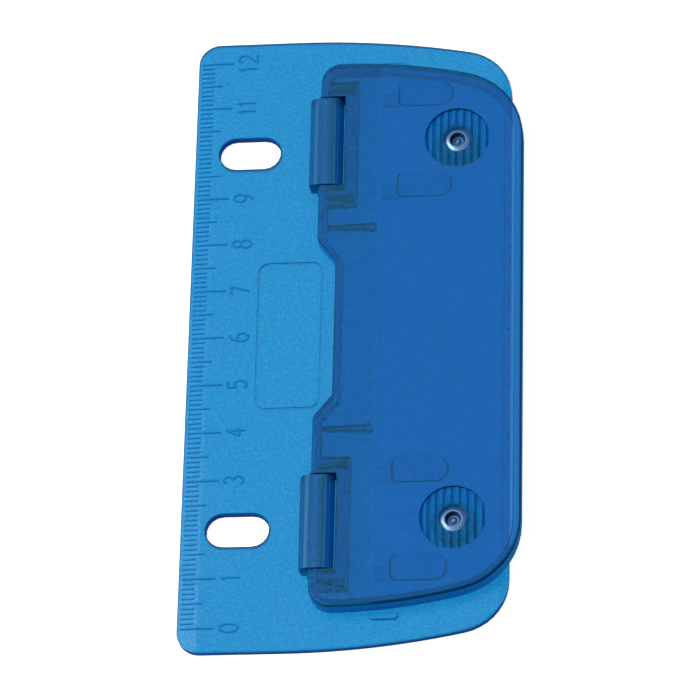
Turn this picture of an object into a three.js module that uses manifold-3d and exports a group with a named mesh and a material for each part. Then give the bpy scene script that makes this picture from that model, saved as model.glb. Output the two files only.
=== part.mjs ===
// Flat two-hole pocket punch with a ruler edge and binder slots.
// Millimetres, +Z up. X runs across the punch from the ruler edge to the press edge,
// Y runs along the ruler, and the flat base rests on z = 0.
import * as THREE from 'three';
import { mergeVertices } from 'three/addons/utils/BufferGeometryUtils.js';
import Module from 'manifold-3d';

const wasm = await Module();
wasm.setup();
const { Manifold, Mesh: SolidMesh } = wasm;

// Shared driving sizes
const overrun = 1.0;
const clearance = 0.3;
const runningClearance = 0.1;
const seatGap = 0.02;
const holePitch = 80.0;
const paperMargin = 12.0;
const pinRadius = 2.4;

// Places: the hinge bar from the ruler edge, the pins from the hinge bar, the press
// edge from the pins, and the ends from the pins
const barX = 26.15;
const leverArm = 26.05;
const pressReach = 12.8;
const coverEndReach = 17.3;
const baseEndReach = 7.3;
const coverOverhang = 2.45;

// Base plate
const baseThickness = 1.8;
const baseArcRadius = 171.0;
const baseArcStart = 20.0;
const baseRightCorner = 10.5;
const baseLeftCorner = 4.3;
const baseEdgeRound = 0.3;
const rulerBevelWidth = 3.9;
const rulerBevelDrop = 0.35;
const leadInWidth = 1.85;
const leadInDrop = 0.5;
const slotX = 10.9;
const slotLength = 12.1;
const slotWidth = 6.6;
const slotEdgeChamfer = 0.25;

// Label field on the base
const labelLead = 2.0;
const labelWidth = 12.0;
const labelLength = 30.4;
const labelCorner = 1.8;
const labelDepth = 0.06;
const labelGroove = 0.35;
const labelGrooveDepth = 0.3;
const labelShiftY = 0.35;

// Ruler marks
const rulerPitch = 1.0;
const rulerShiftY = 0.3;
const tickStart = 0.7;
const tickEnd = 3.2;
const halfTickEnd = 4.8;
const fullTickEnd = 7.0;
const rulerEndMargin = 4.4;
const tickWidth = 0.5;
const fullTickWidth = 0.62;
const markHeight = 0.25;
const markCrown = 0.1;
const markRoot = 0.3;
const digitLead = 1.1;
const digitHeight = 3.6;
const digitWidth = 1.65;
const digitOneWidth = 0.6;
const digitGap = 1.2;
const digitStroke = 0.6;

// Hinge
const barRadius = 1.4;
const barZ = 3.55;
const strapLength = 18.9;
const strapLeftWall = 1.6;
const strapRightWall = 2.0;
const strapTopWall = 1.0;
const strapLeftRound = 1.9;
const strapRightRound = 2.2;
const strapLipDrop = 0.1;
const strapLipRound = 0.25;
const strapEndRound = 0.7;
const hingeShift = 0.15;

// Side lugs that keep the cover in line
const lugLead = 0.9;
const lugLength = 5.4;
const lugThickness = 1.25;
const lugHeight = 0.7;
const lugCorner = 0.7;
const lugChamfer = 0.2;

// Press cover
const coverLead = 0.95;
const coverArcRadius = 105.0;
const coverRightCorner = 14.4;
const coverLeftCorner = 4.0;
const coverTop = 6.0;
const coverPlate = 1.5;
const coverWall = 1.6;
const coverLeftWall = 1.2;
const coverEdgeRound = 0.6;
const rimGap = 0.35;
const reliefDepth = 3.7;
const reliefRamp = 4.6;
const reliefRibGap = 2.4;
const reliefRound = 1.9;
const pocketLength = 26.8;
const pocketDepth = 7.3;
const notchGap = 0.45;
const coreLead = 1.3;
const coreTrail = 0.6;
const coreWallNear = 1.65;
const coreWallFar = 0.65;
const coreWidthNear = 0.35;
const coreWidthFar = 1.15;
const strokeRibGap = 5.45;
const strokeRibShiftY = 0.55;
const strokeRibLead = 1.3;
const strokeRibTrail = 1.5;
const strokeRibWidth = 1.0;
const strokeRibDepth = 1.6;
const strokeRibTip = 0.8;

// Thumb pads
const padRadius = 6.3;
const padDepth = 0.55;
const padGroovePitch = 1.5;
const padGrooveWidth = 1.0;
const padGrooveDepth = 0.4;
const padHoleRadius = 2.75;

// Rounded stop pads beside the pins, raised on the cover's underside
const fieldLength = 10.9;
const fieldWidth = 5.5;
const fieldDepth = 0.4;
const fieldChamfer = 0.35;
const fieldInward = 0.15;
const fieldShiftY = 0.4;
const fieldNearCorner = 1.4;
const fieldFarCorner = 2.6;
const fieldLead = 0.2;
const stopEndGap = 7.2;

// Guide plate
const paperGap = 0.8;
const guideThickness = 1.2;
const guideRightGap = 0.9;
const guideWallGap = 0.45;
const guideLeadIn = 0.5;
const stopLength = 2.9;
const stopWidth = 2.6;
const springWellRadius = 5.2;
const springWellFloor = 0.35;

// Punch pins, rings and springs
const pinDip = 0.55;
const pinHollow = 0.4;
const pinHeadTop = 4.95;
const pinBevelWidth = 0.6;
const pinBevelHeight = 0.35;
const pinDimpleRadius = 1.45;
const pinDimpleFloor = 1.3;
const pinDimpleDepth = 1.1;
const pinButtonRadius = 0.75;
const pinButtonHeight = 0.3;
const pinGrooveDepth = 0.3;
const ringBottom = 3.85;
const ringThickness = 0.45;
const ringOuter = 3.8;
const springWire = 0.2;
const springTopRadius = 3.15;
const springBottomRadius = 4.75;
const springCurls = 2;
const dieOuter = 4.2;
const dieThickness = 1.2;
const dieClearance = 0.12;
const chipHoleRadius = 3.1;

// Counts
const roundSteps = 32;
const cornerSteps = 9;
const sweepSteps = 12;
const filletSteps = 4;
const curlSteps = 8;
const wireSides = 5;
const digitArcSteps = 16;
const fieldSteps = 8;
const marksPerNumber = 10;

// Derived places
const half = 1 / 2;
const pinX = barX + leverArm;
const coverRight = pinX + pressReach;
const coverLeft = barX - coverLead;
const coverHalfLength = holePitch * half + coverEndReach;
const coverArcStart = coverLeft + coverLeftCorner;
const baseWidth = coverRight - coverOverhang;
const baseHalfLength = coverHalfLength + baseEndReach;
const digitX = fullTickEnd + digitLead;
const labelX = digitX + digitHeight + labelLead;
const numbers = Math.floor(2 * (baseHalfLength - rulerEndMargin) / (marksPerNumber * rulerPitch));
const rulerMarks = numbers * marksPerNumber;
const pocketRight = coverLeft + pocketDepth;
const reliefX = coverLeft + reliefDepth;
const hingeOffset = holePitch * half + hingeShift;
const strokeRibY = hingeOffset - pocketLength * half - strokeRibGap;
const reliefHalfOuter = strokeRibY - reliefRibGap;
const reliefHalfInner = reliefHalfOuter - reliefRamp;
const baseTop = baseThickness;
const rimZ = baseTop + rimGap;
const coverUnder = coverTop - coverPlate;
const stopFace = pinX - paperMargin;
const stopOffset = coverEndReach - stopEndGap;
const guideLeft = stopFace - stopLength;
const fieldStart = stopFace + fieldLead;
const lugX = guideLeft - lugLead;
const strokeRibStart = coverLeft + strokeRibLead;
const strokeRibEnd = guideLeft - strokeRibTrail;
const guideBottom = baseTop + paperGap;
const guideTop = guideBottom + guideThickness;
const springSeat = guideBottom + springWellFloor;
const pinTip = baseTop - pinDip;
const pinGuideRadius = pinRadius + runningClearance;
const dieBore = pinRadius + dieClearance;
const ringTop = ringBottom + ringThickness;
const channelRadius = barRadius + runningClearance;
const strapTop = barZ + channelRadius + strapTopWall;
const strapLeft = barX - channelRadius - strapLeftWall;
const strapRight = barX + channelRadius + strapRightWall;
const notchRight = strapRight + notchGap;
const notchHalf = strapLength * half + clearance;
const pocketHalf = pocketLength * half;
const sides = [['north', 1], ['south', -1]];

// Solid helpers
function toSolid(geometry) {
  const plain = geometry.clone();
  plain.deleteAttribute('normal');
  plain.deleteAttribute('uv');
  const merged = mergeVertices(plain.index ? plain.toNonIndexed() : plain);
  const solid = new Manifold(new SolidMesh({
    numProp: 3,
    vertProperties: new Float32Array(merged.attributes.position.array),
    triVerts: new Uint32Array(merged.index.array),
  }));
  return solid;
}

function toGeometry(solid) {
  const mesh = solid.getMesh();
  const geometry = new THREE.BufferGeometry();
  const points = new Float32Array(mesh.vertProperties);
  geometry.setAttribute('position', new THREE.BufferAttribute(points, 3));
  geometry.setIndex(new THREE.BufferAttribute(new Uint32Array(mesh.triVerts), 1));
  const faceted = geometry.toNonIndexed();
  faceted.computeVertexNormals();
  return faceted;
}

function shapeOf(points) {
  return new THREE.Shape(points.map(([a, b]) => new THREE.Vector2(a, b)));
}

// An outline in the XY plane raised from z0 to z1.
function slab(points, z0, z1) {
  const options = { depth: z1 - z0, bevelEnabled: false };
  const geometry = new THREE.ExtrudeGeometry(shapeOf(points), options);
  geometry.translate(0, 0, z0);
  return toSolid(geometry);
}

// The same with a chamfer or a rounding on both edges.
function bevelledSlab(points, z0, z1, bevel, steps) {
  const options = {
    depth: z1 - z0 - 2 * bevel,
    bevelEnabled: true,
    bevelThickness: bevel,
    bevelSize: bevel,
    bevelOffset: -bevel,
    bevelSegments: steps,
  };
  const geometry = new THREE.ExtrudeGeometry(shapeOf(points), options);
  geometry.translate(0, 0, z0 + bevel);
  return toSolid(geometry);
}

// A profile in the XZ plane swept along Y.
function sweepY(points, y0, y1) {
  const options = { depth: y1 - y0, bevelEnabled: false };
  const geometry = new THREE.ExtrudeGeometry(shapeOf(points), options);
  geometry.rotateX(Math.PI * half);
  geometry.translate(0, y1, 0);
  return toSolid(geometry);
}

// A profile in the YZ plane swept along X.
function sweepX(points, x0, x1) {
  const options = { depth: x1 - x0, bevelEnabled: false };
  const geometry = new THREE.ExtrudeGeometry(shapeOf(points), options);
  geometry.rotateX(Math.PI * half);
  geometry.rotateZ(Math.PI * half);
  geometry.translate(x0, 0, 0);
  return toSolid(geometry);
}

function block(x0, x1, y0, y1, z0, z1) {
  const geometry = new THREE.BoxGeometry(x1 - x0, y1 - y0, z1 - z0);
  geometry.translate((x0 + x1) * half, (y0 + y1) * half, (z0 + z1) * half);
  return toSolid(geometry);
}

function disc(x, y, radius, z0, z1, steps = roundSteps) {
  const geometry = new THREE.CylinderGeometry(radius, radius, z1 - z0, steps);
  geometry.rotateX(Math.PI * half);
  geometry.translate(x, y, (z0 + z1) * half);
  return toSolid(geometry);
}

// A turned piece: pairs of radius and height, from the axis and back to it.
function turned(profile, x, y) {
  const points = profile.map(([radius, z]) => new THREE.Vector2(radius, z));
  const geometry = new THREE.LatheGeometry(points, roundSteps);
  geometry.rotateX(Math.PI * half);
  geometry.translate(x, y, 0);
  return toSolid(geometry);
}

function arcPoints(cx, cy, radius, from, to, steps) {
  const points = [];
  for (let i = 0; i <= steps; i += 1) {
    const angle = from + (to - from) * i / steps;
    points.push([cx + radius * Math.cos(angle), cy + radius * Math.sin(angle)]);
  }
  return points;
}

// A closed outline whose corners, each [x, y, radius], are rounded.
function rounded(corners, steps = filletSteps) {
  const points = [];
  const count = corners.length;
  for (let i = 0; i < count; i += 1) {
    const [x, y, radius] = corners[i];
    const before = corners[(i + count - 1) % count];
    const after = corners[(i + 1) % count];
    if (!radius) {
      points.push([x, y]);
      continue;
    }
    const a = new THREE.Vector2(before[0] - x, before[1] - y).normalize();
    const b = new THREE.Vector2(after[0] - x, after[1] - y).normalize();
    const halfAngle = Math.acos(THREE.MathUtils.clamp(a.dot(b), -1, 1)) * half;
    const reach = radius / Math.tan(halfAngle);
    const middle = a.clone().add(b).normalize().multiplyScalar(radius / Math.sin(halfAngle));
    const centre = [x + middle.x, y + middle.y];
    const start = Math.atan2(y + a.y * reach - centre[1], x + a.x * reach - centre[0]);
    let turn = Math.atan2(y + b.y * reach - centre[1], x + b.x * reach - centre[0]) - start;
    while (turn > Math.PI) turn -= 2 * Math.PI;
    while (turn < -Math.PI) turn += 2 * Math.PI;
    points.push(...arcPoints(centre[0], centre[1], radius, start, start + turn, steps));
  }
  return points;
}

function obround(x, y, length, width) {
  const radius = width * half;
  const reach = length * half - radius;
  const quarter = Math.PI * half;
  return [
    ...arcPoints(x + reach, y, radius, -quarter, quarter, cornerSteps),
    ...arcPoints(x - reach, y, radius, quarter, 3 * quarter, cornerSteps),
  ];
}

// Plan of the base and of the cover: a straight ruler side, gently bowed ends and
// two large corners on the press side. The inset makes a parallel outline.
function plan({ left, right, halfLength, bow, bowStart, corner, leftCorner }, inset = 0) {
  const bowCentre = halfLength - bow;
  const cornerX = right - corner;
  const run = cornerX - bowStart;
  const rise = Math.sqrt((bow - corner) ** 2 - run ** 2);
  const cornerY = bowCentre + rise;
  const meet = Math.atan2(rise, run);
  const quarter = Math.PI * half;
  const small = leftCorner - inset;
  const leftX = left + leftCorner;
  const leftY = halfLength - leftCorner;
  const upper = [
    ...arcPoints(cornerX, cornerY, corner - inset, 0, meet, cornerSteps),
    ...arcPoints(bowStart, bowCentre, bow - inset, meet, quarter, sweepSteps).slice(1),
    ...arcPoints(leftX, leftY, small, quarter, 2 * quarter, cornerSteps),
  ];
  const lower = upper.map(([x, y]) => [x, -y]).reverse();
  return [...upper, ...lower];
}

const basePlan = {
  left: 0,
  right: baseWidth,
  halfLength: baseHalfLength,
  bow: baseArcRadius,
  bowStart: baseArcStart,
  corner: baseRightCorner,
  leftCorner: baseLeftCorner,
};

const coverPlan = {
  left: coverLeft,
  right: coverRight,
  halfLength: coverHalfLength,
  bow: coverArcRadius,
  bowStart: coverArcStart,
  corner: coverRightCorner,
  leftCorner: coverLeftCorner,
};

function punchY(side) {
  return side * holePitch * half;
}

function hingeY(side) {
  return side * hingeOffset;
}

// The four places beside the pins where the paper stops stand.
function stopPlaces() {
  const places = [];
  for (const [, side] of sides) {
    for (const offset of [-1, 1]) {
      places.push(punchY(side) + offset * stopOffset);
    }
  }
  return places;
}

// A low mark of tapered section along a path of [x, y, z] points with mitred turns.
// A closed path joins its last point to its first.
function track(path, width, closed = false) {
  const section = [
    [-width * half, -markRoot],
    [width * half, -markRoot],
    [width * half, 0],
    [markCrown * half, markHeight],
    [-markCrown * half, markHeight],
    [-width * half, 0],
  ];
  const count = path.length;
  const corners = section.length;
  const points = [];
  for (let i = 0; i < count; i += 1) {
    const [x, y, z] = path[i];
    const before = closed ? path[(i + count - 1) % count] : path[Math.max(i - 1, 0)];
    const after = closed ? path[(i + 1) % count] : path[Math.min(i + 1, count - 1)];
    const a = new THREE.Vector2(x - before[0], y - before[1]).normalize();
    const b = new THREE.Vector2(after[0] - x, after[1] - y).normalize();
    const along = a.clone().add(b).normalize();
    const lean = Math.max(along.dot(a), along.dot(b));
    for (const [side, up] of section) {
      const reach = side / lean;
      points.push(x + along.y * reach, y - along.x * reach, z + up);
    }
  }
  const faces = [];
  const spans = closed ? count : count - 1;
  for (let i = 0; i < spans; i += 1) {
    const here = i * corners;
    const next = (i + 1) % count * corners;
    for (let k = 0; k < corners; k += 1) {
      const other = (k + 1) % corners;
      faces.push(here + k, next + k, here + other);
      faces.push(here + other, next + k, next + other);
    }
  }
  if (!closed) {
    const last = (count - 1) * corners;
    for (let k = 1; k < corners - 1; k += 1) {
      faces.push(0, k, k + 1);
      faces.push(last, last + k + 1, last + k);
    }
  }
  const geometry = new THREE.BufferGeometry();
  geometry.setAttribute('position', new THREE.Float32BufferAttribute(points, 3));
  geometry.setIndex(faces);
  return toSolid(geometry);
}

// Raised ruler marks that follow the bevel of the ruler edge.
function rulerSurface(x) {
  const share = Math.min(1, x / rulerBevelWidth);
  return baseTop - rulerBevelDrop * (1 - share);
}

function tick(y, end) {
  const near = Math.min(end, rulerBevelWidth);
  const path = [[tickStart, y, rulerSurface(tickStart)], [near, y, rulerSurface(near)]];
  if (end > near) path.push([end, y, baseTop]);
  return track(path, end > halfTickEnd ? fullTickWidth : tickWidth);
}

// Plain numerals on a unit cell, across then up. Each numeral is a list of paths, and
// a path is a list of places [u, v] and of arcs [u, v, half width, half height, from, to]
// with the two ends in turns. The head of each numeral points to the ruler edge and a
// number reads along +Y.
const digitPathShares = {
  0: [[[0.5, 0.5, 0.5, 0.5, 0, 1]]],
  1: [[[0.7, 0], [0.7, 1]], [[0, 0.78], [0.7, 0.97]]],
  2: [[[0.5, 0.72, 0.47, 0.28, 0.45, -0.09], [0.03, 0]], [[0, 0], [1, 0]]],
  3: [[[0.48, 0.76, 0.44, 0.24, 0.4, -0.25]], [[0.48, 0.26, 0.52, 0.26, 0.25, -0.41]]],
  4: [[[0.72, 0], [0.72, 1]], [[0.7, 0.98], [0.03, 0.32]], [[0, 0.3], [1, 0.3]]],
  5: [[[0.88, 1], [0.14, 1]], [[0.16, 0.97], [0.1, 0.56]], [[0.46, 0.32, 0.54, 0.32, 0.38, -0.4]]],
  6: [[[0.5, 0.3, 0.5, 0.3, 0, 1]], [[0.78, 0.34, 0.78, 0.66, 0.5, 0.27]]],
  7: [[[0, 1], [1, 1]], [[0.98, 0.97], [0.35, 0]]],
  8: [[[0.5, 0.27, 0.5, 0.27, 0, 1]], [[0.5, 0.77, 0.42, 0.23, 0, 1]]],
  9: [[[0.5, 0.7, 0.5, 0.3, 0, 1]], [[0.22, 0.66, 0.78, 0.66, 0, -0.23]]],
};

// The places of a numeral's path, with its arcs as short steps.
function digitPlaces(path) {
  const places = [];
  for (const item of path) {
    if (item.length === 2) {
      places.push(item);
      continue;
    }
    const [u, v, wide, high, from, to] = item;
    const steps = Math.ceil(Math.abs(to - from) * digitArcSteps);
    const shut = Math.abs(to - from) === 1;
    for (let i = 0; i < (shut ? steps : steps + 1); i += 1) {
      const angle = 2 * Math.PI * (from + (to - from) * i / steps);
      places.push([u + wide * Math.cos(angle), v + high * Math.sin(angle)]);
    }
  }
  return places;
}

function isRing(path) {
  const [first] = path;
  return path.length === 1 && Math.abs(first[5] - first[4]) === 1;
}

function digitCell(digit) {
  return digit === '1' ? digitOneWidth : digitWidth;
}

function numeral(value, y) {
  const digits = String(value).split('');
  const widths = digits.map(digitCell);
  const whole = widths.reduce((sum, width) => sum + width, (digits.length - 1) * digitGap);
  const solids = [];
  let start = y - whole * half;
  digits.forEach((digit, place) => {
    for (const path of digitPathShares[digit]) {
      const places = digitPlaces(path).map(([u, v]) => [
        digitX + digitHeight * (1 - v),
        start + widths[place] * u,
        baseTop,
      ]);
      solids.push(track(places, digitStroke, isRing(path)));
    }
    start += widths[place] + digitGap;
  });
  return Manifold.union(solids);
}

function ruler() {
  const solids = [];
  const slotReach = slotWidth * half + tickWidth;
  for (let n = 0; n <= rulerMarks; n += 1) {
    const y = (n - rulerMarks * half) * rulerPitch + rulerShiftY;
    const besideSlot = Math.abs(Math.abs(y) - holePitch * half) < slotReach;
    let end = tickEnd;
    if (n % (marksPerNumber * half) === 0) end = halfTickEnd;
    if (n % marksPerNumber === 0) end = fullTickEnd;
    if (besideSlot) end = tickEnd;
    solids.push(tick(y, end));
    const numbered = n % marksPerNumber === 0 && !besideSlot;
    if (numbered) solids.push(numeral(n / marksPerNumber, y));
  }
  return Manifold.union(solids);
}

// Hinge strap: a hook that rises from the base, arches over the hinge bar and
// comes down beside it as a lip.
function strap(side) {
  const quarter = Math.PI * half;
  const lipEnd = barZ - strapLipDrop;
  const leftInner = barX - channelRadius;
  const rightInner = barX + channelRadius;
  const outer = rounded([
    [strapLeft, baseTop - markRoot, 0],
    [leftInner, baseTop - markRoot, 0],
    [leftInner, barZ, 0],
    [rightInner, barZ, 0],
    [rightInner, lipEnd, 0],
    [strapRight, lipEnd, strapLipRound],
    [strapRight, strapTop, strapRightRound],
    [strapLeft, strapTop, strapLeftRound],
  ]);
  const channel = arcPoints(barX, barZ, channelRadius, 0, 2 * quarter, cornerSteps + filletSteps);
  const y0 = hingeY(side) - strapLength * half;
  const y1 = hingeY(side) + strapLength * half;
  const hook = sweepY(outer, y0, y1);
  const lowered = [
    ...channel,
    [barX - channelRadius, barZ - overrun],
    [barX + channelRadius, barZ - overrun],
  ];
  const hollow = sweepY(lowered, y0 - overrun, y1 + overrun);
  const footprint = rounded([
    [strapLeft, y0, strapEndRound],
    [strapRight, y0, strapEndRound],
    [strapRight, y1, strapEndRound],
    [strapLeft, y1, strapEndRound],
  ]);
  return hook.subtract(hollow).intersect(slab(footprint, 0, strapTop + overrun));
}

// Low lug with round outer corners beside the cover's end wall.
function lug(side) {
  const inner = coverHalfLength + clearance;
  const outer = inner + lugThickness;
  const footprint = rounded([
    [lugX, side * inner, 0],
    [lugX + lugLength, side * inner, 0],
    [lugX + lugLength, side * outer, lugCorner],
    [lugX, side * outer, lugCorner],
  ]);
  const ordered = side > 0 ? footprint : footprint.reverse();
  const top = baseTop + lugHeight;
  return bevelledSlab(ordered, baseTop - markRoot, top, lugChamfer, 2);
}

// Outline of the label field, grown on all sides.
function labelOutline(grow) {
  const corner = labelCorner + grow;
  const x0 = labelX - grow;
  const x1 = labelX + labelWidth + grow;
  const reach = labelLength * half + grow;
  return rounded([
    [x0, labelShiftY - reach, corner],
    [x1, labelShiftY - reach, corner],
    [x1, labelShiftY + reach, corner],
    [x0, labelShiftY + reach, corner],
  ]);
}

function buildBase() {
  let solid = bevelledSlab(plan(basePlan), 0, baseTop, baseEdgeRound, 2);
  const reach = baseHalfLength + overrun;
  const rulerCut = sweepY([
    [-overrun, baseTop - rulerBevelDrop - rulerBevelDrop / rulerBevelWidth * overrun],
    [rulerBevelWidth, baseTop],
    [rulerBevelWidth, baseTop + overrun],
    [-overrun, baseTop + overrun],
  ], -reach, reach);
  const leadInCut = sweepY([
    [baseWidth - leadInWidth, baseTop],
    [baseWidth + overrun, baseTop - leadInDrop - leadInDrop / leadInWidth * overrun],
    [baseWidth + overrun, baseTop + overrun],
    [baseWidth - leadInWidth, baseTop + overrun],
  ], -reach, reach);
  solid = solid.subtract(rulerCut).subtract(leadInCut);
  const field = slab(labelOutline(0), baseTop - labelDepth, baseTop + overrun);
  const trench = slab(labelOutline(labelGroove), baseTop - labelGrooveDepth, baseTop + overrun);
  const island = slab(labelOutline(0), baseTop - labelDepth - overrun, baseTop + 2 * overrun);
  solid = solid.subtract(field).subtract(trench.subtract(island));
  solid = solid.add(ruler());
  for (const [, side] of sides) {
    solid = solid.add(strap(side));
    solid = solid.add(lug(side));
    const y = punchY(side);
    const edge = slotEdgeChamfer;
    const slot = slab(obround(slotX, y, slotLength, slotWidth), -overrun, baseTop + overrun);
    const flareLength = slotLength + 2 * (edge + overrun);
    const flareWidth = slotWidth + 2 * (edge + overrun);
    const flarePlan = obround(slotX, y, flareLength, flareWidth);
    const depth = edge + overrun;
    const flare = bevelledSlab(flarePlan, baseTop - edge, baseTop + overrun + depth, depth, 1);
    const underFlare = bevelledSlab(flarePlan, -overrun - depth, edge, depth, 1);
    solid = solid.subtract(slot).subtract(flare).subtract(underFlare);
    const seat = dieOuter + seatGap;
    solid = solid.subtract(disc(pinX, y, seat, baseTop - dieThickness, baseTop + overrun));
    solid = solid.subtract(disc(pinX, y, chipHoleRadius, -overrun, baseTop));
  }
  for (const y of stopPlaces()) {
    const yHalf = stopWidth * half;
    const top = guideBottom - seatGap;
    solid = solid.add(block(guideLeft, stopFace, y - yHalf, y + yHalf, baseTop - markRoot, top));
  }
  return solid;
}

// Edge relief between the two hinges.
function reliefOutline(grow) {
  const out = coverLeft - overrun * 4;
  const lean = reliefHalfOuter - reliefHalfInner;
  const slope = lean / (reliefX - coverLeft);
  const sideGrow = grow * Math.hypot(1, slope);
  const inner = reliefHalfInner + sideGrow - slope * grow;
  const outer = reliefHalfOuter + sideGrow;
  const round = reliefRound + grow;
  const tight = Math.max(reliefRound - grow, strapLipRound);
  const x = reliefX + grow;
  return rounded([
    [out, -outer - overrun, 0],
    [coverLeft, -outer - overrun, 0],
    [coverLeft, -outer, grow ? 0 : tight * half],
    [x, -inner, grow ? round * half : reliefRound],
    [x, inner, grow ? round * half : reliefRound],
    [coverLeft, outer, grow ? 0 : tight * half],
    [coverLeft, outer + overrun, 0],
    [out, outer + overrun, 0],
  ]);
}

// Tapered hollow, open below, in the thick end of the cover beside a hinge bar. The
// end is -1 or 1 for the two ends of a hinge.
function coreOut(side, end) {
  const y = hingeY(side);
  const x0 = coverLeft + coreLead;
  const x1 = pocketRight - coreTrail;
  const near = pocketHalf - coreWallNear;
  const far = pocketHalf - coreWallFar;
  const outline = [
    [x0, y + end * (near - coreWidthNear)],
    [x1, y + end * (far - coreWidthFar)],
    [x1, y + end * far],
    [x0, y + end * near],
  ];
  return slab(end > 0 ? outline : outline.reverse(), rimZ - overrun, coverUnder);
}

// Rounded stop pad under the cover, with a chamfered lower edge.
function fieldPad(y) {
  const x0 = fieldStart;
  const x1 = fieldStart + fieldLength;
  const y0 = y - fieldWidth * half;
  const y1 = y + fieldWidth * half;
  const outline = rounded([
    [x0, y0, fieldNearCorner],
    [x1, y0, fieldFarCorner],
    [x1, y1, fieldFarCorner],
    [x0, y1, fieldNearCorner],
  ], fieldSteps);
  const low = coverUnder - fieldDepth;
  const high = coverUnder + 2 * fieldChamfer;
  const pad = bevelledSlab(outline, low, high, fieldChamfer, 1);
  const above = slab(outline, coverUnder + seatGap, high + overrun);
  return pad.subtract(above);
}

// Stiffening rib under the cover with a round end, tapering towards the hinge side.
function strokeRib(side) {
  const y = side * strokeRibY + strokeRibShiftY;
  const wide = strokeRibWidth * half;
  const low = coverUnder - strokeRibDepth;
  const bulb = disc(strokeRibEnd, y, strokeRibTip, low, coverUnder + seatGap, cornerSteps);
  const body = slab([
    [strokeRibStart, y - wide * half],
    [strokeRibEnd, y - wide],
    [strokeRibEnd, y + wide],
    [strokeRibStart, y + wide * half],
  ], low, coverUnder + seatGap);
  return body.add(bulb);
}

// Sunk thumb pad over a pin, with grooves of triangular section along Y.
function thumbPad(y) {
  const floor = coverTop - padDepth;
  const dish = disc(pinX, y, padRadius, floor, coverTop + overrun, 2 * roundSteps);
  const under = disc(pinX, y, padRadius, floor - overrun, floor + seatGap, 2 * roundSteps);
  const grooves = [];
  const reach = Math.floor(padRadius / padGroovePitch);
  for (let i = -reach; i <= reach; i += 1) {
    const x = pinX + i * padGroovePitch;
    const wide = padGrooveWidth * half;
    grooves.push(sweepY([
      [x, floor - padGrooveDepth],
      [x + wide, floor + seatGap],
      [x - wide, floor + seatGap],
    ], y - padRadius, y + padRadius));
  }
  return dish.add(Manifold.union(grooves).intersect(under));
}

function buildCover() {
  const blank = bevelledSlab(plan(coverPlan), rimZ - 2 * coverEdgeRound, coverTop, coverEdgeRound, 3);
  const reach = coverHalfLength + overrun;
  const below = block(0, coverRight + overrun, -reach, reach, rimZ - 3 * coverEdgeRound, rimZ);
  const relief = slab(reliefOutline(0), rimZ - overrun, coverTop + overrun);
  let shell = blank.subtract(below).subtract(relief);
  const inside = slab(plan(coverPlan, coverWall), rimZ - overrun, coverUnder);
  const leftTrim = block(0, coverLeft + coverLeftWall, -reach, reach, rimZ - 2 * overrun, coverTop);
  const reliefWall = slab(reliefOutline(coverLeftWall), rimZ - 2 * overrun, coverTop + overrun);
  shell = shell.subtract(inside.subtract(leftTrim).subtract(reliefWall));
  for (const [, side] of sides) {
    const y = hingeY(side);
    shell = shell.add(block(
      coverLeft + coverEdgeRound,
      pocketRight,
      y - pocketHalf,
      y + pocketHalf,
      rimZ,
      coverUnder + seatGap,
    ));
    shell = shell.subtract(block(
      coverLeft - overrun,
      notchRight,
      y - notchHalf,
      y + notchHalf,
      rimZ - overrun,
      coverTop + overrun,
    ));
    const bar = new THREE.CylinderGeometry(barRadius, barRadius, 2 * (notchHalf + overrun), roundSteps);
    bar.translate(barX, y, barZ);
    const lowCut = block(0, coverRight, y - pocketHalf, y + pocketHalf, 0, rimZ);
    shell = shell.add(toSolid(bar).subtract(lowCut));
    shell = shell.subtract(coreOut(side, 1)).subtract(coreOut(side, -1));
    shell = shell.add(strokeRib(side));
    shell = shell.subtract(thumbPad(punchY(side)));
    const under = coverUnder - overrun;
    shell = shell.subtract(disc(pinX, punchY(side), padHoleRadius, under, coverTop + overrun));
  }
  for (const [, side] of sides) {
    for (const offset of [-1, 1]) {
      const reachY = offset * (stopOffset - fieldInward);
      shell = shell.add(fieldPad(punchY(side) + reachY + fieldShiftY));
    }
  }
  return shell;
}

function buildGuide() {
  const inset = coverWall + guideWallGap;
  let solid = slab(plan(coverPlan, inset), guideBottom, guideTop);
  const reach = coverHalfLength + overrun;
  solid = solid.subtract(block(0, guideLeft, -reach, reach, 0, coverTop));
  const right = baseWidth - guideRightGap;
  solid = solid.subtract(block(right, coverRight + overrun, -reach, reach, 0, coverTop));
  const leadIn = sweepY([
    [right - guideLeadIn, guideBottom],
    [right - guideLeadIn, guideBottom - overrun],
    [right + overrun, guideBottom - overrun],
    [right + overrun, guideBottom + guideLeadIn + overrun],
  ], -reach, reach);
  solid = solid.subtract(leadIn);
  for (const [, side] of sides) {
    const y = punchY(side);
    solid = solid.subtract(disc(pinX, y, pinGuideRadius, guideBottom - overrun, guideTop + overrun));
    solid = solid.subtract(disc(pinX, y, springWellRadius, springSeat, guideTop + overrun));
  }
  return solid;
}

// Steel punch pin: hollow-ground cutting end, ring groove, and a bevelled head with a
// deep hollow that has a low button at its floor.
function buildPin(y) {
  const groove = pinRadius - pinGrooveDepth;
  const bevelFoot = pinHeadTop - pinBevelHeight;
  return turned([
    [0, pinTip + pinHollow],
    [pinRadius, pinTip],
    [pinRadius, ringBottom - seatGap],
    [groove, ringBottom - seatGap],
    [groove, ringTop + seatGap],
    [pinRadius, ringTop + seatGap],
    [pinRadius, bevelFoot],
    [pinRadius - pinBevelWidth, pinHeadTop],
    [pinDimpleRadius, pinHeadTop],
    [pinDimpleFloor, pinHeadTop - pinDimpleDepth],
    [pinButtonRadius, pinHeadTop - pinDimpleDepth],
    [pinButtonRadius * half, pinHeadTop - pinDimpleDepth + pinButtonHeight],
    [0, pinHeadTop - pinDimpleDepth + pinButtonHeight],
  ], pinX, y);
}

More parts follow.
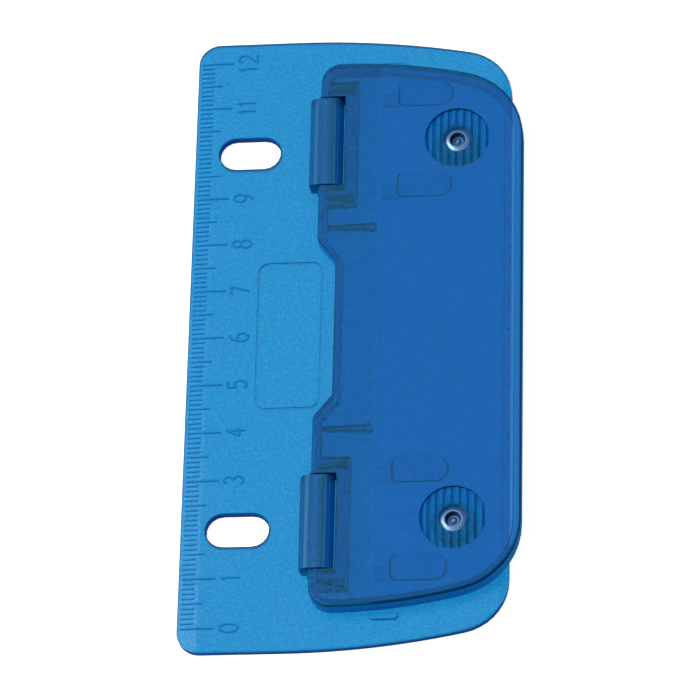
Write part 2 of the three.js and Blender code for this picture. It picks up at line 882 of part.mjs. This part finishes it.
function buildRing(y) {
  const inner = pinRadius - pinGrooveDepth + seatGap;
  return turned([
    [inner, ringBottom],
    [ringOuter, ringBottom],
    [ringOuter, ringTop],
    [inner, ringTop],
    [inner, ringBottom],
  ], pinX, y);
}

function buildDie(y) {
  const bottom = baseTop - dieThickness + seatGap;
  return turned([
    [dieBore, bottom],
    [dieOuter, bottom],
    [dieOuter, baseTop],
    [dieBore, baseTop],
    [dieBore, bottom],
  ], pinX, y);
}

// Conical return spring: one unbroken tube that winds outwards as it comes down,
// so that its turns lie inside each other when the cover is closed.
function springCentre(t) {
  const angle = t * springCurls * 2 * Math.PI;
  const radius = springTopRadius + (springBottomRadius - springTopRadius) * t;
  const high = ringBottom - springWire - seatGap;
  const low = springSeat + springWire + seatGap;
  const z = high + (low - high) * t;
  return new THREE.Vector3(radius * Math.cos(angle), radius * Math.sin(angle), z);
}

function springGap() {
  const steps = springCurls * curlSteps * 4;
  const points = [];
  for (let i = 0; i <= steps; i += 1) points.push(springCentre(i / steps));
  let least = Infinity;
  const apart = curlSteps * 2;
  for (let i = 0; i <= steps; i += 1) {
    for (let j = i + apart; j <= steps; j += 1) {
      least = Math.min(least, points[i].distanceTo(points[j]));
    }
  }
  return least - 2 * springWire;
}

function buildSpring(y) {
  const rings = springCurls * curlSteps;
  const points = [];
  const faces = [];
  for (let i = 0; i <= rings; i += 1) {
    const t = i / rings;
    const centre = springCentre(t);
    const angle = t * springCurls * 2 * Math.PI;
    for (let s = 0; s < wireSides; s += 1) {
      const around = 2 * Math.PI * s / wireSides;
      const out = springWire * Math.cos(around);
      const up = springWire * Math.sin(around);
      const x = pinX + centre.x + out * Math.cos(angle);
      points.push(x, y + centre.y + out * Math.sin(angle), centre.z + up);
    }
  }
  for (let i = 0; i < rings; i += 1) {
    for (let s = 0; s < wireSides; s += 1) {
      const a = i * wireSides + s;
      const b = i * wireSides + (s + 1) % wireSides;
      faces.push(a, a + wireSides, b, b, a + wireSides, b + wireSides);
    }
  }
  const last = rings * wireSides;
  for (let s = 1; s < wireSides - 1; s += 1) {
    faces.push(0, s, s + 1);
    faces.push(last, last + s + 1, last + s);
  }
  const geometry = new THREE.BufferGeometry();
  geometry.setAttribute('position', new THREE.Float32BufferAttribute(points, 3));
  geometry.setIndex(faces);
  return geometry;
}

console.log(`return spring: least gap to itself ${springGap().toFixed(2)} mm`);

// Materials
const basePlastic = new THREE.MeshStandardMaterial({
  color: 0x2d91cd, roughness: 0.28, metalness: 0, transparent: true, opacity: 0.72,
});
const coverPlastic = new THREE.MeshStandardMaterial({
  color: 0x1a66af, roughness: 0.25, metalness: 0, transparent: true, opacity: 0.75,
});
const clearPlastic = new THREE.MeshStandardMaterial({
  color: 0xa9cfe6, roughness: 0.2, metalness: 0, transparent: true, opacity: 0.35,
});
const toolSteel = new THREE.MeshStandardMaterial({ color: 0xb9bfc4, roughness: 0.22, metalness: 1 });
const springSteel = new THREE.MeshStandardMaterial({ color: 0x8f959a, roughness: 0.35, metalness: 1 });
const dieSteel = new THREE.MeshStandardMaterial({ color: 0x9aa0a6, roughness: 0.3, metalness: 1 });

const punch = new THREE.Group();
punch.name = 'pocket_punch';
const parts = new THREE.Group();
parts.name = 'parts';
parts.position.x = -coverRight * half;
punch.add(parts);

function addPiece(name, geometry, material) {
  geometry.computeVertexNormals();
  const mesh = new THREE.Mesh(geometry, material);
  mesh.name = name;
  parts.add(mesh);
}

addPiece('base_plate', toGeometry(buildBase()), basePlastic);
addPiece('press_cover', toGeometry(buildCover()), coverPlastic);
addPiece('guide_plate', toGeometry(buildGuide()), clearPlastic);
for (const [name, side] of sides) {
  const y = punchY(side);
  addPiece(`punch_pin_${name}`, toGeometry(buildPin(y)), toolSteel);
  addPiece(`retaining_ring_${name}`, toGeometry(buildRing(y)), springSteel);
  addPiece(`return_spring_${name}`, buildSpring(y), springSteel);
  addPiece(`die_ring_${name}`, toGeometry(buildDie(y)), dieSteel);
}

export default punch;
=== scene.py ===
import math

import bpy
from mathutils import Matrix, Vector

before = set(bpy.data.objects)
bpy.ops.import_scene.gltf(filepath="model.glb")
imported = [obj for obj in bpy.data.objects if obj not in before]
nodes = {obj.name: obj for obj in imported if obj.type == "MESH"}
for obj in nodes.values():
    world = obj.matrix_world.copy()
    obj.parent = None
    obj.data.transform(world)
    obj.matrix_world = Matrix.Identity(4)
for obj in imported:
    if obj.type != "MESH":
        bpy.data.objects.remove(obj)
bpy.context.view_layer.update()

MM = 0.001
WHITE = (1.0, 1.0, 1.0)
scene = bpy.context.scene

# Places on the part, in metres in its own frame. Both exist at +Y and at -Y.
PIN_AXIS = (0.0197, 0.04)
SLOT_MIDDLE = (-0.0216, 0.04)
SLOT_HALF_STRAIGHT = 0.00275

# Each pair of numbers is where a mask starts and where it is full.
# How level a face lies: 1 is flat, 0 is upright.
WALL_LEVEL = (0.45, 0.2)
SLOPE_LEVEL = (0.97, 0.85)
BENT_LEVEL = (0.995, 0.97)
# How far a face looks up, with its true normal.
LOOKS_DOWN = (0.0, -0.1)
LOOKS_UP = (0.03, 0.08)
# The distance from a pin's axis.
BESIDE_PAD = (0.0064, 0.0066)
ON_BEVEL = (0.0019, 0.002)
IN_HOLLOW = (0.00162, 0.00154)
IN_HOLLOW_MIDDLE = (0.00115, 0.00105)
# The base: the distance from a slot's middle line, |Y| and the height.
SLOT_RIM = (0.0036, 0.00345)
WITHIN_ENDS = (0.0613, 0.0611)
PLATE_EDGE = (0.0019, 0.0018)
ABOVE_PLATE = (0.002, 0.0022)
# The cover: |Y|, X and the height.
POCKET_OUTER_END = (0.0541, 0.0539)
POCKET_INNER_END = (0.0201, 0.0203)
POCKET_PRESS_SIDE = (0.0065, 0.006)
POCKET_HINGE_SIDE = (-0.0069, -0.0067)
HINGE_STRIP = (0.005, 0.0042)
PRESS_STRIP = (0.0293, 0.0302)
COVER_TOP = (0.0051, 0.0053)

# Colours, as linear red, green and blue. A dye is what the light keeps within the plastic.
BASE_BLUE = (0.036, 0.50, 0.96)
# Painted shade on the base's side walls and sloping faces.
BASE_WALL_SHADE = (0.002, 0.17, 0.85)
BASE_FLANK_SHADE = (0.01, 0.24, 0.62)
BASE_DYE = (0.0, 0.52, 0.66)
# Deeper painted shade on the slot rims, the plate's edge and the straps' upright sides.
BASE_SLOT_RIM_SHADE = (0.0, 0.06, 0.3)
BASE_PLATE_EDGE_SHADE = (0.0, 0.05, 0.24)
BASE_STRAP_WALL_SHADE = (0.008, 0.2, 0.56)
COVER_BLUE = (0.012, 0.51, 0.97)
# Painted shade on the cover's side walls and sloping faces.
COVER_WALL_SHADE = (0.012, 0.34, 0.85)
COVER_FLANK_SHADE = (0.0, 0.03, 0.12)
COVER_DYE = (0.0, 0.60, 0.79)
# Deeper painted shade on the walls of the pockets and near the top, and painted shade on the
# strips along the hinge and the press edge.
COVER_DEEP_WALL_SHADE = (0.0, 0.05, 0.16)
COVER_HINGE_STRIP_SHADE = (0.011, 0.45, 0.85)
COVER_PRESS_STRIP_SHADE = (0.05, 0.36, 0.8)
GUIDE_CLEAR = (0.93, 0.98, 1.0)
# Faint painted shade on the guide plate's side walls and sloping faces.
GUIDE_WALL_SHADE = (0.8, 0.9, 0.95)
GUIDE_FLANK_SHADE = (0.7, 0.85, 0.95)
GUIDE_DYE = (0.8, 0.95, 1.0)
# The pin's ground steel, with a painted bluish reflection.
PIN_STEEL_WITH_BLUE_REFLECTION = (0.32, 0.56, 1.0)
# Painted shade in the pin's hollow, lighter at its middle.
PIN_HOLLOW_MIDDLE_SHADE = (0.16, 0.34, 0.66)
PIN_HOLLOW_SHADE = (0.03, 0.08, 0.16)
# A painted highlight on the pin's bevel.
PIN_BEVEL_HIGHLIGHT = (0.45, 0.75, 1.0)
RING_STEEL = (0.17, 0.24, 0.34)
DIE_STEEL = (0.45, 0.46, 0.48)

# The pigment's clouds, as shares of the colour, and how much clearer a light one is.
DARK_CLOUD = (0.62, 0.66, 0.95)
LIGHT_CLOUD = (1.38, 1.34, 1.05)
LIGHT_CLOUD_CLEARER = 0.13
# How much of a face's clearness gives way to its painted shade.
PLATE_EDGE_LOSS = 0.5
DEEP_WALL_LOSS = 0.5
FLANK_LOSS = 0.75
# Sloping faces get less painted shade in the thumb pads, where they are fine grooves.
PAD_FLANK_SHARE = 0.3

# Flat faces and bent edges of the plastics: bent edges mirror less and more dully.
FLAT_IOR, GUIDE_FLAT_IOR, EDGE_IOR = 1.5, 1.2, 1.25
FLAT_GLOSS, EDGE_GLOSS = 0.5, 0.03
EDGE_ADDED_ROUGHNESS = 0.35
LEAST_ROUGHNESS, MOST_ROUGHNESS = 0.75, 1.25

# Noises, as scale, detail and roughness. The scale of a plastic's clouds is its own.
CLOUD_FORM = (4.0, 0.7)
GLOSS_NOISE = (90.0, 2.0, 0.5)
SPARK_NOISE = (3200.0, 2.0, 0.6)
STEEL_NOISE = (3000.0, 3.0, 0.6)
WEAR_NOISE = (360.0, 2.0, 0.5)
PIN_NOISE = (4000.0, 3.0, 0.6)
# A noise's middle range, which holds nearly all of it.
NOISE_RANGE = (0.3, 0.7)
# Grain, as strength and height.
SPARK_STRENGTH = 0.5
STEEL_GRAIN = (0.2, 0.00002)
# Roughness of the metals, least and most, and how dark the pin's wear is.
STEEL_ROUGHNESS = (0.21, 0.42)
PIN_ROUGHNESS = (0.38, 0.55)
PIN_WEAR = 0.8


# Materials


class Build:
    """The nodes of a material or world, with short calls to add and link them."""

    def __init__(self, owner, output="ShaderNodeOutputMaterial"):
        self.owner = owner
        owner.use_nodes = True
        self.tree = owner.node_tree
        self.tree.nodes.clear()
        self.out = self.add(output)

    def add(self, kind, **values):
        node = self.tree.nodes.new(kind)
        for key, value in values.items():
            setattr(node, key, value)
        return node

    def link(self, a, b):
        self.tree.links.new(a, b)

    def calc(self, operation, a, b=None):
        node = self.add("ShaderNodeMath", operation=operation)
        for value, socket in zip((a, b), node.inputs):
            if value is None:
                continue
            if isinstance(value, float):
                socket.default_value = value
            else:
                self.link(value, socket)
        return node.outputs[0]

    def times(self, first, *others):
        for other in others:
            first = self.calc("MULTIPLY", first, other)
        return first

    def rest_of(self, share):
        return self.calc("SUBTRACT", 1.0, share)

    def noise(self, scale, detail, rough):
        coord = self.add("ShaderNodeTexCoord")
        noise = self.add("ShaderNodeTexNoise")
        noise.inputs["Scale"].default_value = scale
        noise.inputs["Detail"].default_value = detail
        noise.inputs["Roughness"].default_value = rough
        self.link(coord.outputs["Object"], noise.inputs["Vector"])
        return noise.outputs["Fac"]

    def remap(self, value, start, end, low, high):
        """Low at the start and high at the end, clamped."""
        node = self.add("ShaderNodeMapRange")
        node.inputs["From Min"].default_value = start
        node.inputs["From Max"].default_value = end
        node.inputs["To Min"].default_value = low
        node.inputs["To Max"].default_value = high
        self.link(value, node.inputs["Value"])
        return node.outputs["Result"]

    def ramp(self, value, start, end):
        return self.remap(value, start, end, 0.0, 1.0)

    def spread(self, noise, low, high):
        return self.remap(noise, *NOISE_RANGE, low, high)

    def blend(self, factor, a, b):
        """Colour a where the factor is nought and colour b where it is one."""
        mix = self.add("ShaderNodeMix", data_type="RGBA")
        self.link(factor, mix.inputs["Factor"])
        for value, socket in ((a, mix.inputs["A"]), (b, mix.inputs["B"])):
            if isinstance(value, tuple):
                socket.default_value = (*value, 1)
            else:
                self.link(value, socket)
        return mix.outputs["Result"]

    def choose(self, factor, a, b):
        """Shader a where the factor is nought and shader b where it is one."""
        mix = self.add("ShaderNodeMixShader")
        self.link(factor, mix.inputs["Fac"])
        self.link(a, mix.inputs[1])
        self.link(b, mix.inputs[2])
        return mix.outputs["Shader"]

    def parts(self, output):
        """X, Y and Z of the place or of the way a face looks, in the part's frame."""
        coord = self.add("ShaderNodeTexCoord")
        split = self.add("ShaderNodeSeparateXYZ")
        self.link(coord.outputs[output], split.inputs["Vector"])
        return split.outputs

    def ring(self, place, half_length):
        """The distance from a pin's axis, or from the middle line of a slot."""
        at = self.parts("Object")
        x = self.calc("ABSOLUTE", self.calc("SUBTRACT", at["X"], place[0]))
        x = self.calc("MAXIMUM", self.calc("SUBTRACT", x, half_length), 0.0)
        y = self.calc("SUBTRACT", self.calc("ABSOLUTE", at["Y"]), place[1])
        return self.calc("SQRT", self.calc("ADD", self.times(x, x), self.times(y, y)))

    def grain(self, shader, noise, strength, height):
        bump = self.add("ShaderNodeBump")
        bump.inputs["Strength"].default_value = strength
        bump.inputs["Distance"].default_value = height
        self.link(noise, bump.inputs["Height"])
        self.link(bump.outputs["Normal"], shader.inputs["Normal"])


class Plastic(Build):
    """A plastic's nodes, with the places and masks that all its pieces need."""

    def __init__(self, name):
        super().__init__(bpy.data.materials.new(name))
        self.at = self.parts("Object")
        self.out_y = self.calc("ABSOLUTE", self.at["Y"])
        way = self.parts("Normal")
        # A face that is hit from inside gives its normal turned over.
        inward = self.add("ShaderNodeNewGeometry").outputs["Backfacing"]
        side = self.rest_of(self.times(inward, 2.0))
        self.north = self.times(way["Y"], side)
        self.up = self.times(way["Z"], side)
        level = self.calc("ABSOLUTE", way["Z"])
        self.wall = self.ramp(level, *WALL_LEVEL)
        self.slope = self.ramp(level, *SLOPE_LEVEL)
        self.bent = self.ramp(level, *BENT_LEVEL)
        self.beside_pad = self.ramp(self.ring(PIN_AXIS, 0.0), *BESIDE_PAD)

    def flanks(self, turning, even, turn):
        """Painted shade on sloping faces, an even share on all. Where the turning mask is
        full, the turn is added on those that look south and taken off those that look north.
        The thumb pads get less of it."""
        north = self.times(self.north, turning, -turn)
        turned = self.ramp(self.calc("ADD", north, even), 0.0, 1.0)
        share = self.times(self.beside_pad, 1.0 - PAD_FLANK_SHARE)
        share = self.calc("ADD", share, PAD_FLANK_SHARE)
        return self.times(self.slope, turned, share)


def within_ends(b):
    return b.ramp(b.out_y, *WITHIN_ENDS)


def underside(b):
    return b.ramp(b.up, *LOOKS_DOWN)


def base_details(b, shade, clearness, shaded_flanks):
    """Painted shade on the side walls, and deeper painted shade on the rims of the binder
    slots, the plate's edge and the upright sides of the straps; the plate's edge also lets
    less light through, so that its painted shade shows.
    """
    shade = b.blend(b.wall, shade, BASE_WALL_SHADE)
    to_slot = b.ring(SLOT_MIDDLE, SLOT_HALF_STRAIGHT)
    shade = b.blend(b.ramp(to_slot, *SLOT_RIM), shade, BASE_SLOT_RIM_SHADE)
    edge = b.times(b.wall, b.ramp(b.at["Z"], *PLATE_EDGE))
    shade = b.blend(edge, shade, BASE_PLATE_EDGE_SHADE)
    strap = b.times(b.wall, b.ramp(b.at["Z"], *ABOVE_PLATE))
    shade = b.blend(strap, shade, BASE_STRAP_WALL_SHADE)
    return shade, b.times(clearness, b.rest_of(b.times(edge, PLATE_EDGE_LOSS)))


def cover_details(b, shade, clearness, shaded_flanks):
    """Painted shade on the strips along the hinge and the press edge, on the sloping faces,
    and on the side walls, deepest on the walls of the pockets beside the hinge bars and
    near the top. The sloping rim of the top, the shaded sloping faces and the deep walls
    let less light through, so that their painted shade shows."""
    pockets = b.times(
        b.ramp(b.out_y, *POCKET_OUTER_END),
        b.ramp(b.at["X"], *POCKET_PRESS_SIDE),
        b.ramp(b.at["X"], *POCKET_HINGE_SIDE),
        b.ramp(b.out_y, *POCKET_INNER_END),
    )
    deep = b.calc("MAXIMUM", pockets, b.ramp(b.at["Z"], *COVER_TOP))
    # Painted shade on the strips along the hinge and the press edge.
    shade = b.blend(b.ramp(b.at["X"], *HINGE_STRIP), shade, COVER_HINGE_STRIP_SHADE)
    shade = b.blend(b.ramp(b.at["X"], *PRESS_STRIP), shade, COVER_PRESS_STRIP_SHADE)
    shade = b.blend(shaded_flanks, shade, COVER_FLANK_SHADE)
    shade = b.blend(b.wall, shade, b.blend(deep, COVER_WALL_SHADE, COVER_DEEP_WALL_SHADE))
    # The sloping rim of the top, the shaded sloping faces and the deep walls let less light
    # through, so that their painted shade shows.
    rim = b.times(b.slope, b.beside_pad, b.ramp(b.up, *LOOKS_UP))
    walls = b.times(b.wall, deep, DEEP_WALL_LOSS)
    shade_shown = b.calc("MAXIMUM", walls, b.times(shaded_flanks, FLANK_LOSS))
    shade_shown = b.calc("MAXIMUM", shade_shown, rim)
    return shade, b.times(clearness, b.rest_of(shade_shown))


def guide_details(b, shade, clearness, shaded_flanks):
    # Faint painted shade on the side walls.
    return b.blend(b.wall, shade, GUIDE_WALL_SHADE), clearness


def plastic(
    name, details, colour, flank_shade_colour, dye, density, *,
    clear, cloudy, cloud_scale, even_flank_shade, flank_shade_turn, turning, rough, grain_height,
    flat_ior=FLAT_IOR,
):
    """Translucent moulded plastic. Part of the light passes through with a tint, part is
    scattered back by the pigment, and thick stretches absorb more. A fine spark-eroded
    grain covers the skin, with clouds in its pigment and gloss. Sloping faces and side
    walls get painted shade, deeper on sloping faces that look south, and are duller."""
    b = Plastic(name)
    shader = b.add("ShaderNodeBsdfPrincipled")

    cloud = b.noise(cloud_scale, *CLOUD_FORM)
    clearness = b.spread(cloud, clear - cloudy, clear + LIGHT_CLOUD_CLEARER)
    dark = tuple(c * k for c, k in zip(colour, DARK_CLOUD))
    light = tuple(min(1.0, c * k) for c, k in zip(colour, LIGHT_CLOUD))
    shade = b.blend(b.spread(cloud, 0.0, 1.0), dark, light)

    # Painted shade on sloping faces, deeper on those that look south.
    shaded_flanks = b.flanks(turning(b), even_flank_shade, flank_shade_turn)
    shade = b.blend(shaded_flanks, shade, flank_shade_colour)
    shade, clearness = details(b, shade, clearness, shaded_flanks)
    b.link(shade, shader.inputs["Base Color"])
    b.link(clearness, shader.inputs["Transmission Weight"])

    shader.inputs["IOR"].default_value = flat_ior
    b.link(b.remap(b.bent, 0.0, 1.0, flat_ior, EDGE_IOR), shader.inputs["IOR"])
    gloss = b.remap(b.bent, 0.0, 1.0, FLAT_GLOSS, EDGE_GLOSS)
    b.link(gloss, shader.inputs["Specular IOR Level"])
    flat_rough = b.spread(
        b.noise(*GLOSS_NOISE), rough * LEAST_ROUGHNESS, rough * MOST_ROUGHNESS
    )
    edge_rough = b.times(b.bent, EDGE_ADDED_ROUGHNESS)
    b.link(b.calc("ADD", flat_rough, edge_rough), shader.inputs["Roughness"])
    b.grain(shader, b.noise(*SPARK_NOISE), SPARK_STRENGTH, grain_height)
    b.link(shader.outputs["BSDF"], b.out.inputs["Surface"])

    volume = b.add("ShaderNodeVolumeAbsorption")
    volume.inputs["Color"].default_value = (*dye, 1)
    volume.inputs["Density"].default_value = density
    b.link(volume.outputs["Volume"], b.out.inputs["Volume"])
    return b.owner


def metal(b, shade, noise, roughness):
    shader = b.add("ShaderNodeBsdfPrincipled")
    shader.inputs["Metallic"].default_value = 1.0
    b.link(shade, shader.inputs["Base Color"])
    b.link(b.spread(noise, *roughness), shader.inputs["Roughness"])
    b.grain(shader, noise, *STEEL_GRAIN)
    b.link(shader.outputs["BSDF"], b.out.inputs["Surface"])
    return b.owner


def steel(name, colour, wear):
    """Turned steel: fine grain in the gloss and broad spots of darker wear."""
    b = Build(bpy.data.materials.new(name))
    worn = tuple(c * wear for c in colour)
    shade = b.blend(b.spread(b.noise(*WEAR_NOISE), 0.0, 1.0), colour, worn)
    return metal(b, shade, b.noise(*STEEL_NOISE), STEEL_ROUGHNESS)


def pin_head_steel(name):
    """Ground steel with a painted bluish reflection of the plastic around it, and a painted
    highlight on its bevel. The hollow in the head is dull, with painted shade that is
    lighter at its middle."""
    b = Build(bpy.data.materials.new(name))
    radius = b.ring(PIN_AXIS, 0.0)
    noise = b.noise(*PIN_NOISE)
    worn = tuple(c * PIN_WEAR for c in PIN_STEEL_WITH_BLUE_REFLECTION)
    ground = b.blend(b.spread(noise, 0.0, 1.0), PIN_STEEL_WITH_BLUE_REFLECTION, worn)
    # A painted highlight on the bevel.
    highlighted = b.blend(b.ramp(radius, *ON_BEVEL), ground, PIN_BEVEL_HIGHLIGHT)
    # Painted shade in the hollow, lighter at its middle.
    middle = b.ramp(radius, *IN_HOLLOW_MIDDLE)
    hollow_shade = b.blend(middle, PIN_HOLLOW_SHADE, PIN_HOLLOW_MIDDLE_SHADE)
    shade = b.blend(b.ramp(radius, *IN_HOLLOW), highlighted, hollow_shade)
    return metal(b, shade, noise, PIN_ROUGHNESS)


def dress(node, material, crease):
    """The node's material, and smooth shading over edges that turn less than the crease."""
    mesh = nodes[node].data
    mesh.materials.clear()
    mesh.materials.append(material)
    mesh.shade_smooth()
    mesh.set_sharp_from_angle(angle=math.radians(crease))


base_plastic = plastic(
    "base_plastic", base_details, BASE_BLUE, BASE_FLANK_SHADE, BASE_DYE, 480.0,
    clear=0.8, cloudy=0.18, cloud_scale=2000.0, even_flank_shade=0.8, flank_shade_turn=1.2,
    turning=within_ends, rough=0.2, grain_height=0.00005,
)
cover_plastic = plastic(
    "cover_plastic", cover_details, COVER_BLUE, COVER_FLANK_SHADE, COVER_DYE, 500.0,
    clear=0.86, cloudy=0.2, cloud_scale=2600.0, even_flank_shade=0.75, flank_shade_turn=1.05,
    turning=underside, rough=0.17, grain_height=0.00005,
)
guide_plastic = plastic(
    "guide_plastic", guide_details, GUIDE_CLEAR, GUIDE_FLANK_SHADE, GUIDE_DYE, 30.0,
    clear=0.98, cloudy=0.18, cloud_scale=2000.0, even_flank_shade=0.5, flank_shade_turn=0.0,
    turning=underside, rough=0.08, grain_height=0.00001, flat_ior=GUIDE_FLAT_IOR,
)
pin_steel = pin_head_steel("pin_steel")
ring_steel = steel("ring_steel", RING_STEEL, 0.75)
die_steel = steel("die_steel", DIE_STEEL, 0.8)

# The cover's rounded rim turns in larger steps than the other pieces, and a spring's wire
# in still larger ones.
PLAIN_CREASE, COVER_CREASE, WIRE_CREASE = 28, 38, 80

dress("base_plate", base_plastic, PLAIN_CREASE)
dress("press_cover", cover_plastic, COVER_CREASE)
dress("guide_plate", guide_plastic, PLAIN_CREASE)
for side in ("north", "south"):
    dress("punch_pin_" + side, pin_steel, PLAIN_CREASE)
    dress("retaining_ring_" + side, ring_steel, PLAIN_CREASE)
    dress("return_spring_" + side, ring_steel, WIRE_CREASE)
    dress("die_ring_" + side, die_steel, PLAIN_CREASE)


# Floor, light and camera


FLOOR_REACH = 3.0
FLOOR_GAP = 0.00002
FLOOR_GREY = 0.9
FLOOR_LIFT = 0.82
WORLD_LIGHT = 0.3
WORLD_TINT = (0.93, 0.96, 1.0)
LAMP_PLACE = (-0.98, 0.02, 1.26)
LAMP_SIDE = 1.0
LAMP_WATTS = 18.0


def pale_floor(name):
    """White where it is seen, apart from the object's soft shadow, and white where it is
    looked through to; plain diffuse for the light."""
    b = Build(bpy.data.materials.new(name))
    diffuse = b.add("ShaderNodeBsdfDiffuse")
    diffuse.inputs["Color"].default_value = (FLOOR_GREY, FLOOR_GREY, FLOOR_GREY, 1)
    lift = b.add("ShaderNodeEmission")
    lift.inputs["Strength"].default_value = FLOOR_LIFT
    lifted = b.add("ShaderNodeAddShader")
    b.link(diffuse.outputs["BSDF"], lifted.inputs[0])
    b.link(lift.outputs["Emission"], lifted.inputs[1])
    glow = b.add("ShaderNodeEmission")
    glow.inputs["Strength"].default_value = 1.0
    ray = b.add("ShaderNodeLightPath").outputs
    through = b.choose(
        ray["Is Transmission Ray"], diffuse.outputs["BSDF"], glow.outputs["Emission"]
    )
    seen = b.choose(ray["Is Camera Ray"], through, lifted.outputs["Shader"])
    b.link(seen, b.out.inputs["Surface"])
    return b.owner


def studio_world(name):
    """White where it is seen or looked through to, and weak soft light otherwise."""
    b = Build(bpy.data.worlds.new(name), "ShaderNodeOutputWorld")
    sky = b.add("ShaderNodeBackground")
    sky.inputs["Color"].default_value = (*WHITE, 1)
    sky.inputs["Strength"].default_value = 1.0
    soft = b.add("ShaderNodeBackground")
    soft.inputs["Color"].default_value = (*WORLD_TINT, 1)
    soft.inputs["Strength"].default_value = WORLD_LIGHT
    ray = b.add("ShaderNodeLightPath").outputs
    seen = b.calc("MAXIMUM", ray["Is Camera Ray"], ray["Is Transmission Ray"])
    background = b.choose(seen, soft.outputs["Background"], sky.outputs["Background"])
    b.link(background, b.out.inputs["Surface"])
    return b.owner


def put(name, data):
    obj = bpy.data.objects.new(name, data)
    scene.collection.objects.link(obj)
    return obj


floor_mesh = bpy.data.meshes.new("floor")
floor_mesh.from_pydata(
    [(x * FLOOR_REACH, y * FLOOR_REACH, 0) for x, y in ((-1, -1), (1, -1), (1, 1), (-1, 1))],
    [],
    [(0, 1, 2, 3)],
)
floor_mesh.materials.append(pale_floor("pale_floor"))
floor = put("floor", floor_mesh)
floor.location.z = -FLOOR_GAP

scene.world = studio_world("studio")

# The lamp stands high on the ruler's side, where no low view mirrors it.
lamp_data = bpy.data.lights.new("west", "AREA")
lamp_data.shape = "RECTANGLE"
lamp_data.size = lamp_data.size_y = LAMP_SIDE
lamp_data.energy = LAMP_WATTS
lamp = put("west", lamp_data)
lamp.location = LAMP_PLACE
lamp.rotation_euler = (-Vector(LAMP_PLACE)).to_track_quat("-Z", "Y").to_euler()

# The camera was fitted to the ruler marks, the slots, the pins and the outline in
# the photograph: its place and axes are in the frame of the part.
FOCAL_PX, IMAGE_PX, SENSOR_MM = 4306.9, 700.0, 36.0
CAMERA_RIGHT = Vector((0.99314033, 0.02143412, -0.1149472))
CAMERA_UP = Vector((0.02840935, 0.90936645, 0.41502478))
CAMERA_BACK = Vector((0.11342482, -0.41544342, 0.90251957))
CAMERA_PLACE_MM = Vector((93.05, -347.18, 749.2))

camera_data = bpy.data.cameras.new("camera")
camera_data.sensor_width = SENSOR_MM
camera_data.lens = SENSOR_MM * FOCAL_PX / IMAGE_PX
camera_data.clip_start, camera_data.clip_end = 0.01, 20.0
camera = put("camera", camera_data)
turned = Matrix((CAMERA_RIGHT, CAMERA_UP, CAMERA_BACK)).transposed().to_4x4()
camera.matrix_world = Matrix.Translation(CAMERA_PLACE_MM * MM) @ turned
scene.camera = camera

scene.view_settings.view_transform = "Standard"
